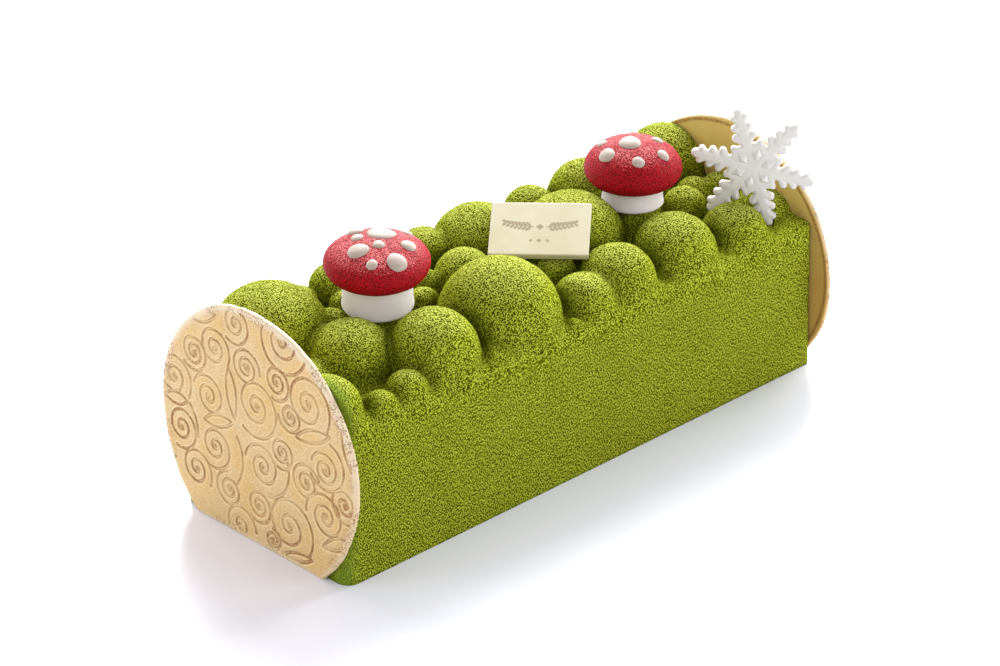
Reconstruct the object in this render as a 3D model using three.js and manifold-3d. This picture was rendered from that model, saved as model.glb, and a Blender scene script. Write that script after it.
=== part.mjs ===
// Yule log cake: a mousse log with a domed top, coated in green velvet spray, closed at each end by an
// embossed disc and topped with two sugar toadstools, a white chocolate tile and a snowflake.
// Millimetres, +Z up. The log lies along X and the origin is under its middle, on the table.
import * as THREE from 'three';
import { mergeVertices } from 'three/addons/utils/BufferGeometryUtils.js';
import Module from 'manifold-3d';

const wasm = await Module();
wasm.setup();

// Driving dimensions
const logWidth = 91;
const shoulderHeight = 63;
const shoulderRadius = 5;
const shoulderFacets = 4;
const nearCornerRadius = 5.5;
const farCornerRadius = 2.5;
const cornerFacets = 5;
const outlineHeight = 120;
const domeFoot = 40;
const domeInset = 0.1;
const facetLength = 6.3;
const fewestFacets = 10;

const discSpan = 255.8;
const discThickness = 2.6;
const discRimRadius = 0.7;
const discSides = 40;
const handCutWaves = [{ count: 3, height: 0.35 }, { count: 7, height: 0.2 }];
const nearDisc = { radius: 53.6, centreAcross: -0.55, centreHeight: 40.4, lean: 1.0, wavePhase: 0.6 };
const farDisc = { radius: 54.1, centreAcross: 0, centreHeight: 38.5, lean: 2.1, wavePhase: 2.4 };
const grooveDepth = 0.55;
const grooveStepsPerTurn = 5.8;
const grooveTurns = 1.25;
const sideSteps = 2;
const grooveSides = 4;

const gap = 0.3;

const nearToadstool = {
  base: [-60.2, 7.5, 72],
  stemRadius: 13.5,
  capRadius: 19.9,
  crown: 8.5,
  skirt: 6,
  capLift: 18.8,
  tilt: 4,
  tiltHeading: -134,
};
const farToadstool = {
  base: [71.9, 4.1, 72],
  stemRadius: 12.3,
  capRadius: 19.2,
  crown: 11.6,
  skirt: 6.4,
  capLift: 15,
  tilt: 0,
  tiltHeading: 0,
};
const toadstoolSides = 22;
const stemFlare = { foot: 1, waist: 0.4, neck: 0.2 };
const skirtSteps = 3;
const crownSteps = 6;
const dotRise = 1.2;
const dotSides = 6;
const dotRings = 3;

const tile = { width: 38.2, height: 27, thickness: 2.6 };
const tileStand = { centre: [14.2, -2.5, 81.9], heading: -142.2, elevation: 68, roll: 3.7 };

const flake = { arms: 6, reach: 25, thickness: 4 };
const flakeStand = { centre: [107.8, -26.6, 85.4], heading: -139.3, elevation: 6.2, roll: -13.2 };
const petal = { length: 5.8, width: 4.2, height: 2.9, distance: 5.8 };
// The web between two arms ends in a blunt point: distance from the middle and from its middle line
const web = [[10.7, -2.3], [12, 0], [10.7, 2.3]];
// Fingers as distance along the arm and length, the last pair being the sides of the trefoil
const arm = { spineWidth: 5, fingerWidth: 3, fingerLean: 65, notch: 10 };
const armFingers = [[12.2, 1.7], [16.1, 1.1], [20.4, 0.4]];
const armTip = { shoulder: 0.8, narrowing: 0.5, halfWidth: 0.7 };
const fingerPoint = 0.8;

// Domes of the front row touch the front wall and those of the back row the back wall:
// x, radius, height of centre
const frontDomes = [
  [-121.6, 13.6, 65.6], [-101.4, 6.9, 61.8], [-87.2, 8.1, 63.3], [-65.6, 17.4, 66.9], [-45.6, 7.3, 60.1],
  [-26.2, 23.6, 65.1], [-7, 3.3, 62.1], [7.7, 13.1, 61.9], [28.1, 15.2, 64.3], [61.4, 17.3, 63.2],
  [91.9, 13.7, 62.3], [116.4, 5.8, 58.2],
];
const backDomes = [
  [-100, 23.3, 65.2], [-73.7, 8.5, 65], [-56.6, 9.8, 68], [-36.7, 10.5, 63], [-12.4, 11.5, 66.6],
  [9.4, 19.3, 64.1], [30.3, 7.5, 63], [45.6, 11.2, 65.6], [72.2, 15.9, 65.4], [93.8, 8.6, 63],
  [115.5, 17, 66.3],
];
// Domes between the rows: x, y, radius, height of centre
const middleDomes = [
  [-108.7, -9, 10, 62], [-88.7, -9, 17.1, 64], [-75.7, 17, 9, 63], [-62.7, 23, 6.6, 66],
  [-60.7, 8, 12.5, 61], [-39.7, 5, 6.6, 66], [-40.7, 21, 8.5, 63], [-28.7, 16, 6.7, 66],
  [-13.7, 10, 12, 66], [13.3, -12, 8.2, 66], [38.2, 4.6, 22, 64], [71.3, 4, 12, 61.5], [93.3, -4, 8.9, 65],
  [93.3, 14, 8.5, 63], [107.3, 4, 8, 63], [116.3, -1, 7, 65], [118, -22.5, 14, 58],
];

// Embossed scrolls on a disc, seen from outside: across, up, outer radius, turns, end angle, hand, widening.
// Hand 1 winds anticlockwise on its way out.
const scrolls = [
  [-11.5, 86, 8.4, 2.2, 235, -1, 1.3], [13.5, 88, 13.4, 2.6, 350, 1, 1.4],
  [-23.5, 72, 9, 2.3, 330, -1, 1.3], [-35, 66.3, 7.8, 2.5, 225, -1, 1.1],
  [-6, 70.3, 8, 2.5, 0, -1, 1.2], [11, 71, 7.4, 2.2, 250, -1, 1.1],
  [27.3, 68.3, 12.6, 2.5, 322, -1, 1.5], [18, 59.5, 6.4, 2.1, 190, -1, 1.1],
  [-0.5, 57, 13.4, 2.7, 235, -1, 1.6], [-27, 51, 9, 2.1, 160, 1, 1.2],
  [-47, 52, 10.4, 2.4, 325, -1, 1.4], [13, 43.3, 7, 2.2, 215, -1, 1.1],
  [36.5, 45.5, 7.4, 2, 165, 1, 1.2], [26, 36.3, 8, 2.3, 20, -1, 1.2],
  [46.5, 35.3, 7.8, 2.2, 317, 1, 1.3], [2.5, 33.3, 9.6, 2.3, 170, 1, 1.4],
  [-24, 31.5, 9.4, 2.2, 245, -1, 1.3], [-43, 32.5, 9.4, 2.3, 250, -1, 1.3],
  [36.5, 26.3, 10.4, 2.4, 185, 1, 1.3], [-35, 18, 9, 2.2, 330, -1, 1.2],
  [-16.5, 16.3, 7.5, 2.2, 100, -1, 1.1], [0, 16.3, 7.4, 2.3, 230, -1, 1.1],
  [16.5, 14.5, 13.6, 2.4, 325, -1, 1.5], [-11, 4, 9, 1.8, 0, -1, 1.3], [7.5, 5.3, 4.6, 1.8, 90, 1, 1],
];
const innermostTurn = 1.3;
// Long sweeps round a scroll: across, up, radius, from angle, to angle
const sweeps = [
  [36.5, 47.5, 9.8, 75, -140], [3, 36, 14, 25, -100], [-24, 30.5, 15.6, 38, -42], [-48, 33, 14.5, 50, -5],
];
// Leaves between the scrolls, from tip to tip and how wide: across, up, across, up, width
const leaves = [
  [-15.5, 67, -12.8, 47, 5.2], [21, 53, 39, 60, 5], [-30, 40.5, -14, 45, 4.8], [-52, 42.5, -39.5, 44, 4.8],
  [35, 14, 50, 21.5, 4.6], [13, 1.5, 29, 5.5, 3.4], [45.5, 66, 50.5, 50, 3.6], [-34.5, 79.8, -22, 86, 4],
];

// Sugar dots on a cap: bearing, distance from the axis, width
const nearDots = [
  [84, 13.3, 6.4], [33, 6.7, 10.6], [3, 15.8, 4.8], [110, 8.1, 4.8], [-117, 2.7, 4.8], [-48, 11.7, 6],
  [177, 8.8, 7.9], [-140, 13.5, 4.3], [-100, 13.6, 7.7],
];
const farDots = [
  [-165, 2.8, 9], [172, 12.9, 6.4], [-128, 13.6, 4.6], [-77, 13.4, 4.8], [-27, 9.9, 4.5], [125, 12.3, 4.2],
  [42, 10.3, 3.4],
];

const radians = THREE.MathUtils.degToRad;
const flakeMiddle = new THREE.Vector2();
const armSpacing = 2 * Math.PI / flake.arms;

// A closed geometry as a solid that can be joined and cut
function toSolid(geometry) {
  const bare = geometry.clone();
  bare.deleteAttribute('normal');
  bare.deleteAttribute('uv');
  const merged = mergeVertices(bare, 1e-4);
  return new wasm.Manifold(new wasm.Mesh({
    numProp: 3,
    vertProperties: new Float32Array(merged.attributes.position.array),
    triVerts: new Uint32Array(merged.index.array),
  }));
}

function toGeometry(solid) {
  const mesh = solid.getMesh();
  const geometry = new THREE.BufferGeometry();
  geometry.setAttribute('position', new THREE.BufferAttribute(mesh.vertProperties, 3));
  geometry.setIndex(new THREE.BufferAttribute(mesh.triVerts, 1));
  geometry.computeVertexNormals();
  return geometry;
}

function join(solids) {
  return solids.reduce((whole, solid) => whole.add(solid));
}

// Turns local right, up and outward axes into the given directions and moves the origin
function frameMatrix(right, up, out, origin) {
  return new THREE.Matrix4().makeBasis(right, up, out).setPosition(origin);
}

// Frame of a flat piece whose face looks along a heading, raised by an elevation, and rolled in its plane
function facingMatrix({ centre, heading, elevation, roll }) {
  const level = radians(elevation);
  const turn = radians(heading);
  const forward = new THREE.Vector3(Math.cos(turn), Math.sin(turn), 0);
  const right = new THREE.Vector3(-Math.sin(turn), Math.cos(turn), 0);
  const out = forward.multiplyScalar(Math.cos(level)).setZ(Math.sin(level));
  const up = new THREE.Vector3().crossVectors(out, right);
  return frameMatrix(right, up, out, new THREE.Vector3(...centre))
    .multiply(new THREE.Matrix4().makeRotationZ(radians(roll)));
}

// Log: its section carried along X, with the domes fused on, trimmed by the mould's outline seen from above
function logSection() {
  const half = logWidth / 2;
  const bendHeight = shoulderHeight - shoulderRadius;
  const section = new THREE.Shape();
  section.moveTo(-half, 0);
  section.lineTo(half, 0);
  section.lineTo(half, bendHeight);
  section.absarc(half - shoulderRadius, bendHeight, shoulderRadius, 0, Math.PI / 2);
  section.absarc(shoulderRadius - half, bendHeight, shoulderRadius, Math.PI / 2, Math.PI);
  section.closePath();
  const geometry = new THREE.ExtrudeGeometry(section, {
    depth: discSpan,
    bevelEnabled: false,
    curveSegments: shoulderFacets,
  });
  geometry.applyMatrix4(frameMatrix(
    new THREE.Vector3(0, 1, 0), new THREE.Vector3(0, 0, 1), new THREE.Vector3(1, 0, 0),
    new THREE.Vector3(-discSpan / 2, 0, 0)));
  return toSolid(geometry);
}

// Half a ball on a round column that goes down into the log
function dome([x, y, radius, height]) {
  const around = Math.max(fewestFacets, Math.round(2 * Math.PI * radius / facetLength));
  const steps = Math.round(around / 4);
  const profile = [new THREE.Vector2(0, domeFoot), new THREE.Vector2(radius, domeFoot)];
  for (let i = 0; i < steps; i += 1) {
    const angle = i / steps * Math.PI / 2;
    profile.push(new THREE.Vector2(radius * Math.cos(angle), height + radius * Math.sin(angle)));
  }
  profile.push(new THREE.Vector2(0, height + radius));
  return toSolid(turned(profile, around).translate(x, y, 0));
}

// The log's outline from above, whose ends slope inwards with height, flush with the leaning discs
function mouldOutline() {
  const half = logWidth / 2;
  const end = discSpan / 2 - discThickness - gap;
  const outline = new THREE.Shape();
  outline.absarc(end - farCornerRadius, half - farCornerRadius, farCornerRadius, 0, Math.PI / 2);
  outline.absarc(nearCornerRadius - end, half - nearCornerRadius, nearCornerRadius, Math.PI / 2, Math.PI);
  outline.absarc(nearCornerRadius - end, nearCornerRadius - half, nearCornerRadius, Math.PI, 1.5 * Math.PI);
  outline.absarc(end - farCornerRadius, farCornerRadius - half, farCornerRadius, -Math.PI / 2, 0);
  outline.closePath();
  const geometry = new THREE.ExtrudeGeometry(outline, {
    depth: outlineHeight,
    bevelEnabled: false,
    curveSegments: cornerFacets,
  });
  const place = geometry.attributes.position;
  for (let i = 0; i < place.count; i += 1) {
    const slope = place.getX(i) < 0 ? Math.tan(radians(nearDisc.lean)) : -Math.tan(radians(farDisc.lean));
    place.setX(i, place.getX(i) + slope * place.getZ(i));
  }
  return toSolid(geometry);
}

function allDomes() {
  const half = logWidth / 2 - domeInset;
  return [
    ...frontDomes.map(([x, radius, height]) => [x, radius - half, radius, height]),
    ...backDomes.map(([x, radius, height]) => [x, half - radius, radius, height]),
    ...middleDomes,
  ];
}

// What is pressed into the log leaves its own shape, grown by the gap
function pressedShapes() {
  const stems = [nearToadstool, farToadstool].map((toadstool) => {
    const geometry = stemGeometry(toadstool, gap);
    geometry.applyMatrix4(toadstoolMatrix(toadstool));
    return toSolid(geometry);
  });
  const tileBlank = toSolid(tileGeometry(gap).applyMatrix4(facingMatrix(tileStand)));
  const flakeBlank = toSolid(flakeOutlineGeometry(gap).applyMatrix4(facingMatrix(flakeStand)));
  return join([...stems, tileBlank, flakeBlank]);
}

function cakeGeometry() {
  const whole = join([logSection(), ...allDomes().map(dome)]);
  return toGeometry(whole.intersect(mouldOutline()).subtract(pressedShapes()));
}

// Disc: a hand-cut round, flat where it stands on the table. Across and up are in the plane, outward is +Z.
function discBlank({ radius, centreAcross, centreHeight, wavePhase }) {
  const points = [];
  for (let i = 0; i < discSides; i += 1) {
    const angle = 2 * Math.PI * i / discSides;
    const waves = handCutWaves.map(({ count, height }) => height * Math.sin(count * angle + wavePhase));
    const uneven = waves.reduce((sum, wave) => sum + wave);
    const reach = radius - discRimRadius + uneven;
    points.push(new THREE.Vector2(
      centreAcross + reach * Math.cos(angle), centreHeight + reach * Math.sin(angle)));
  }
  const geometry = new THREE.ExtrudeGeometry(new THREE.Shape(points), {
    depth: discThickness - 2 * discRimRadius,
    bevelSize: discRimRadius,
    bevelThickness: discRimRadius,
    bevelSegments: 1,
  });
  geometry.translate(0, 0, discRimRadius);
  const table = new THREE.BoxGeometry(4 * radius, 2 * radius, 8 * discThickness);
  table.translate(0, -radius, 0);
  return toSolid(geometry).subtract(toSolid(table));
}

// Scroll: the radius grows with the turn, slowly at first, from the innermost turn to the outer radius
class Scroll extends THREE.Curve {
  constructor([across, up, radius, turns, endAngle, hand, widening]) {
    super();
    const shown = Math.min(1, grooveTurns / turns);
    Object.assign(this, { across, up, radius, turns, endAngle, hand, widening, shown });
  }

  getPoint(t, target = new THREE.Vector3()) {
    const along = 1 - this.shown * (1 - t);
    const reach = innermostTurn + (this.radius - innermostTurn) * along ** this.widening;
    const angle = radians(this.endAngle) - this.hand * 2 * Math.PI * this.turns * (1 - along);
    const across = this.across + reach * Math.cos(angle);
    const up = this.up + reach * Math.sin(angle);
    return target.set(across, up, discThickness);
  }
}

function sweepCurve([across, up, radius, from, to]) {
  const bend = radians(to - from) / 2;
  const middle = radians(from + to) / 2;
  const at = (angle, reach) => new THREE.Vector3(
    across + reach * Math.cos(angle), up + reach * Math.sin(angle), discThickness);
  return new THREE.CatmullRomCurve3([-1, -0.5, 0, 0.5, 1].map((part) => at(middle + part * bend, radius)));
}

// The two sides of a leaf bow out from the line between its tips
function leafCurves([fromAcross, fromUp, toAcross, toUp, width]) {
  const from = new THREE.Vector3(fromAcross, fromUp, discThickness);
  const to = new THREE.Vector3(toAcross, toUp, discThickness);
  const aside = new THREE.Vector3(fromUp - toUp, toAcross - fromAcross, 0).setLength(width);
  const middle = from.clone().lerp(to, 0.5);
  return [-1, 1].map((side) => new THREE.QuadraticBezierCurve3(
    from, middle.clone().addScaledVector(aside, side), to));
}

// A groove with a V section follows a curve that lies in the disc's outer face
function groove(curve, steps) {
  const section = new THREE.Shape();
  for (let i = 0; i < grooveSides; i += 1) {
    const angle = 2 * Math.PI * i / grooveSides;
    section.lineTo(grooveDepth * Math.cos(angle), grooveDepth * Math.sin(angle));
  }
  section.closePath();
  return toSolid(new THREE.ExtrudeGeometry(section, { steps, extrudePath: curve }));
}

function embossing() {
  return join([
    ...scrolls.map((scroll) => groove(new Scroll(scroll), Math.round(grooveTurns * grooveStepsPerTurn))),
    ...sweeps.map((sweep) => groove(sweepCurve(sweep), sideSteps)),
    ...leaves.flatMap(leafCurves).map((side) => groove(side, sideSteps)),
  ]);
}

// Toadstool: stem and cap are turned about the same axis, which may lean towards the front left
function toadstoolMatrix({ base, tilt, tiltHeading }) {
  const towards = radians(tiltHeading);
  const axis = new THREE.Vector3(-Math.sin(towards), Math.cos(towards), 0);
  return new THREE.Matrix4().makeRotationAxis(axis, radians(tilt)).setPosition(...base);
}

function turned(profile, sides) {
  const geometry = new THREE.LatheGeometry(profile, sides);
  geometry.rotateX(Math.PI / 2);
  return geometry;
}

function stemGeometry({ stemRadius, capLift, skirt }, grow) {
  const top = capLift - skirt - gap + grow;
  const radius = stemRadius + grow;
  return turned([
    new THREE.Vector2(0, -grow),
    new THREE.Vector2(radius - stemFlare.foot, -grow),
    new THREE.Vector2(radius, stemFlare.foot - grow),
    new THREE.Vector2(radius - stemFlare.waist, top / 2),
    new THREE.Vector2(radius + stemFlare.neck, top),
    new THREE.Vector2(0, top),
  ], toadstoolSides);
}

// Cap: half an ellipse above the rim, and a skirt that curls in to the stem below it
function capProfile({ capRadius, stemRadius, crown, skirt }) {
  const points = [new THREE.Vector2(0, -skirt)];
  for (let i = skirtSteps; i > 0; i -= 1) {
    const angle = i / skirtSteps * Math.PI / 2;
    points.push(new THREE.Vector2(
      stemRadius + (capRadius - stemRadius) * Math.cos(angle), -skirt * Math.sin(angle)));
  }
  for (let i = 0; i < crownSteps; i += 1) {
    const angle = i / crownSteps * Math.PI / 2;
    points.push(new THREE.Vector2(capRadius * Math.cos(angle), crown * Math.sin(angle)));
  }
  points.push(new THREE.Vector2(0, crown));
  return points;
}

function dotSolid({ capRadius, crown }, [bearing, distance, width]) {
  const geometry = new THREE.SphereGeometry(1, dotSides, dotRings);
  geometry.rotateX(Math.PI / 2);
  geometry.scale(width / 2, width / 2, dotRise);
  const height = crown * Math.sqrt(1 - (distance / capRadius) ** 2);
  const angle = radians(bearing);
  const place = new THREE.Vector3(distance * Math.cos(angle), distance * Math.sin(angle), height);
  const out = new THREE.Vector3(place.x / capRadius ** 2, place.y / capRadius ** 2, height / crown ** 2);
  const turn = new THREE.Quaternion().setFromUnitVectors(new THREE.Vector3(0, 0, 1), out.normalize());
  geometry.applyQuaternion(turn);
  geometry.translate(place.x, place.y, place.z);
  return toSolid(geometry);
}

function capGeometry(toadstool, dots) {
  const plain = toSolid(turned(capProfile(toadstool), toadstoolSides));
  return toGeometry(join([plain, ...dots.map((dot) => dotSolid(toadstool, dot))]));
}

function tileGeometry(grow) {
  const sizes = [tile.width, tile.height, tile.thickness].map((size) => size + 2 * grow);
  const geometry = new THREE.BoxGeometry(...sizes);
  geometry.translate(0, 0, -tile.thickness / 2);
  return geometry;
}

// Snowflake: six arms, each with three pairs of fingers and a trefoil tip, and rhombus petals between them.
// The corners of one side of an arm are distance along it and distance from its middle line.
function fingerCorners([root, length]) {
  const half = arm.fingerWidth / 2;
  const along = Math.cos(radians(arm.fingerLean));
  const aside = Math.sin(radians(arm.fingerLean));
  const at = (forward, back) => [
    root + forward * along - back * aside, arm.spineWidth / 2 + forward * aside + back * along];
  return [
    [root - half / aside, arm.spineWidth / 2],
    at(length, half),
    at(length + fingerPoint * half, 0),
    at(length, -half),
    [root + half / aside, arm.spineWidth / 2],
  ];
}

function armSideCorners() {
  const notch = [arm.notch, arm.spineWidth / 2];
  const tip = [
    [flake.reach - armTip.shoulder, arm.spineWidth / 2 - armTip.narrowing],
    [flake.reach, armTip.halfWidth],
  ];
  return [notch, ...armFingers.flatMap(fingerCorners), ...tip];
}

function turnedCorners(corners, turns) {
  return corners.map(([along, aside]) => (
    new THREE.Vector2(along, aside).rotateAround(flakeMiddle, turns * armSpacing)));
}

function flakeOutlineGeometry(grow) {
  const side = armSideCorners();
  const whole = [...side.map(([along, aside]) => [along, -aside]), ...side.slice().reverse()];
  const corners = [];
  for (let index = 0; index < flake.arms; index += 1) {
    corners.push(...turnedCorners(web, index - 0.5), ...turnedCorners(whole, index));
  }
  const geometry = new THREE.ExtrudeGeometry(new THREE.Shape(corners), {
    depth: flake.thickness + 2 * grow,
    bevelEnabled: false,
  });
  geometry.translate(0, 0, -flake.thickness / 2 - grow);
  return geometry;
}

function petalSolid(index) {
  const geometry = new THREE.OctahedronGeometry(1);
  geometry.scale(petal.length / 2, petal.width / 2, petal.height);
  geometry.translate(petal.distance, 0, 0);
  geometry.rotateZ((index + 0.5) * armSpacing);
  return toSolid(geometry);
}

function flakeGeometry() {
  const petals = Array.from({ length: flake.arms }, (_, index) => petalSolid(index));
  return toGeometry(join([toSolid(flakeOutlineGeometry(0)), ...petals]));
}

// Finishes
const velvet = new THREE.MeshStandardMaterial({ color: '#8a9a2b', roughness: 0.95, metalness: 0 });
const biscuit = new THREE.MeshStandardMaterial({ color: '#e0bd8c', roughness: 0.6, metalness: 0 });
const sugar = new THREE.MeshStandardMaterial({ color: '#efece6', roughness: 0.5, metalness: 0 });
const redSugar = new THREE.MeshStandardMaterial({ color: '#a81523', roughness: 0.55, metalness: 0 });
const whiteChocolate = new THREE.MeshStandardMaterial({ color: '#efe8d2', roughness: 0.4, metalness: 0 });
const whiteSugar = new THREE.MeshStandardMaterial({ color: '#f4f3f0', roughness: 0.35, metalness: 0 });

function named(name, geometry, material) {
  const mesh = new THREE.Mesh(geometry, material);
  mesh.name = name;
  return mesh;
}

function placed(matrix, ...meshes) {
  const group = new THREE.Group();
  matrix.decompose(group.position, group.quaternion, group.scale);
  group.add(...meshes);
  return group;
}

// A disc leans over its inner bottom edge, towards the log
function standingDisc(name, disc, side) {
  const outward = new THREE.Vector3(side, 0, 0);
  const up = new THREE.Vector3(0, 0, 1);
  const across = new THREE.Vector3(0, side, 0);
  const foot = new THREE.Vector3(side * (discSpan / 2 - discThickness), 0, 0);
  const lean = new THREE.Matrix4().makeRotationX(-radians(disc.lean));
  const matrix = frameMatrix(across, up, outward, foot).multiply(lean);
  return placed(matrix, named(name, toGeometry(discBlank(disc).subtract(embossing())), biscuit));
}

function toadstool(place, dimensions, dots) {
  const stem = named(`toadstool_stem_${place}`, stemGeometry(dimensions, 0), sugar);
  const cap = named(`toadstool_cap_${place}`, capGeometry(dimensions, dots), redSugar);
  cap.position.z = dimensions.capLift;
  return placed(toadstoolMatrix(dimensions), stem, cap);
}

const cake = new THREE.Group();
cake.add(named('cake_log', cakeGeometry(), velvet));
cake.add(standingDisc('end_disc_near', nearDisc, -1));
cake.add(standingDisc('end_disc_far', farDisc, 1));
cake.add(toadstool('near', nearToadstool, nearDots));
cake.add(toadstool('far', farToadstool, farDots));
cake.add(placed(facingMatrix(tileStand), named('chocolate_tile', tileGeometry(0), whiteChocolate)));
cake.add(placed(facingMatrix(flakeStand), named('sugar_snowflake', flakeGeometry(), whiteSugar)));

export default cake;
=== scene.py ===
import math

import bmesh
import bpy
import numpy as np
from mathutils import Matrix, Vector


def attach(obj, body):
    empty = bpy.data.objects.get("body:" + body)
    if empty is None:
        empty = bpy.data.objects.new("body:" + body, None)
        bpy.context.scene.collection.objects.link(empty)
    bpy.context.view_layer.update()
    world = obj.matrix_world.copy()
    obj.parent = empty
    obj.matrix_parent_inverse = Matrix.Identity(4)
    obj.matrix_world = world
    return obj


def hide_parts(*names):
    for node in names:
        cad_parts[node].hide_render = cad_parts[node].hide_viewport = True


# Yule log cake. Everything below is worked out in millimetres and put into the meshes in metres.
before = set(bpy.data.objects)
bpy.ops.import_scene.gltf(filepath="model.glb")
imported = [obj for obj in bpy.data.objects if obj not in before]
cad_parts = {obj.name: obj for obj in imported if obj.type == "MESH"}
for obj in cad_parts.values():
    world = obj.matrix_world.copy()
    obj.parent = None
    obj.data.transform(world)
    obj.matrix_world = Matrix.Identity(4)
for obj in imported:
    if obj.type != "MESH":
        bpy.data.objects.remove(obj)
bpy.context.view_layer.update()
millimetre = 0.001


def gridFaces(rows, columns, closedRows=False, closedColumns=False):
    # quads between neighbouring points of a grid whose points are numbered row by row
    row = np.arange(rows if closedRows else rows - 1)[:, None]
    column = np.arange(columns if closedColumns else columns - 1)[None, :]
    nextRow = (row + 1) % rows
    nextColumn = (column + 1) % columns
    corners = [row * columns + column, row * columns + nextColumn,
               nextRow * columns + nextColumn, nextRow * columns + column]
    return np.stack(np.broadcast_arrays(*corners), -1).reshape(-1, 4)


def gridEdge(rows, columns):
    # numbers of the points round the edge of such a grid, in order
    sides = (np.arange(columns), np.arange(1, rows) * columns + columns - 1,
             rows * columns - 2 - np.arange(columns - 1), (rows - 2 - np.arange(rows - 2)) * columns)
    return np.concatenate(sides)


def closedGrid(front, rings, edge):
    # points and faces of a grid and of the rings that carry its edge round to the middle of its back
    rows, columns = front.shape[:2]
    ringNumbers = rows * columns + np.arange(rings.shape[0] * len(edge)).reshape(-1, len(edge))
    numbers = np.concatenate([edge[None], ringNumbers])
    strip = gridFaces(len(numbers), len(edge), closedColumns=True)
    points = np.concatenate([front.reshape(-1, 3), rings.reshape(-1, 3)])
    return points, np.concatenate([gridFaces(rows, columns), numbers.ravel()[strip][:, ::-1]])


def joinShells(shells):
    # several (points, faces) pairs as one pair, with the faces renumbered
    counts = np.cumsum([0] + [len(points) for points, faces in shells])
    points = np.concatenate([points for points, faces in shells])
    faces = np.concatenate([faces + start for (_, faces), start in zip(shells, counts)])
    return points, faces


def addPiece(name, points, faces, material, nodes=(), attributes=None, weld=0.002):
    # a mesh object at the origin, riding on the one body, standing for the CAD nodes named
    mesh = bpy.data.meshes.new(name)
    mesh.from_pydata((points * millimetre).tolist(), [], faces.tolist())
    for key, values in (attributes or {}).items():
        attribute = mesh.attributes.new(key, "FLOAT", "POINT")
        attribute.data.foreach_set("value", np.ascontiguousarray(values, dtype=np.float32).ravel())
    piece = bpy.data.objects.new(name, mesh)
    bpy.context.scene.collection.objects.link(piece)
    weldPoints(mesh, weld)
    mesh.shade_smooth()
    mesh.materials.append(material)
    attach(piece, "root")
    if nodes:
        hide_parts(*nodes)
    print(name, len(mesh.vertices), "points", len(mesh.polygons), "faces")


def weldPoints(mesh, distance):
    # closes seams and poles by merging points that lie together
    work = bmesh.new()
    work.from_mesh(mesh)
    bmesh.ops.remove_doubles(work, verts=work.verts, dist=distance * millimetre)
    bmesh.ops.dissolve_degenerate(work, edges=work.edges, dist=distance * millimetre)
    bmesh.ops.recalc_face_normals(work, faces=work.faces)
    work.to_mesh(mesh)
    work.free()


def smoothStep(low, high, value):
    # 0 below low, 1 above high, and an S curve between them
    part = np.clip((value - low) / (high - low), 0, 1)
    return part * part * (3 - 2 * part)


def smoothNoise(points, size, seed):
    # random numbers from -1 to 1 on a lattice of that cell size, blended with an S curve inside each cell
    count = 64
    lattice = np.random.default_rng(seed).uniform(-1, 1, (count, count, count))
    place = points / size
    cell = np.floor(place).astype(int)
    part = place - cell
    part = part * part * (3 - 2 * part)
    total = np.zeros(points.shape[:-1])
    for corner in np.ndindex(2, 2, 2):
        index = (cell + corner) % count
        weight = np.prod(np.where(np.array(corner) == 1, part, 1 - part), axis=-1)
        total += lattice[index[..., 0], index[..., 1], index[..., 2]] * weight
    return total


def gridNormals(points):
    # unit cross product of the steps along the two directions of a grid of points
    normal = np.cross(np.gradient(points, axis=1), np.gradient(points, axis=0))
    return normal / np.maximum(np.linalg.norm(normal, axis=-1, keepdims=True), 1e-9)


class Wire:
    # a socket of a look, wrapped so that shader maths is written as plain expressions
    def __init__(self, look, socket):
        self.look = look
        self.socket = socket

    def maths(self, operation, *values):
        return self.look.node("Math", {"operation": operation}, values)

    def __add__(self, other):
        return self.maths("ADD", self, other)

    def __radd__(self, other):
        return self.maths("ADD", other, self)

    def __sub__(self, other):
        return self.maths("SUBTRACT", self, other)

    def __rsub__(self, other):
        return self.maths("SUBTRACT", other, self)

    def __mul__(self, other):
        return self.maths("MULTIPLY", self, other)

    def __rmul__(self, other):
        return self.maths("MULTIPLY", other, self)

    def size(self):
        return self.maths("ABSOLUTE", self)

    def between(self, low, high):
        # 0 at low and below, 1 at high and above, smooth between
        settings = {"interpolation_type": "SMOOTHSTEP"}
        return self.look.node("MapRange", settings, (self, low, high, 0, 1))


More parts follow.
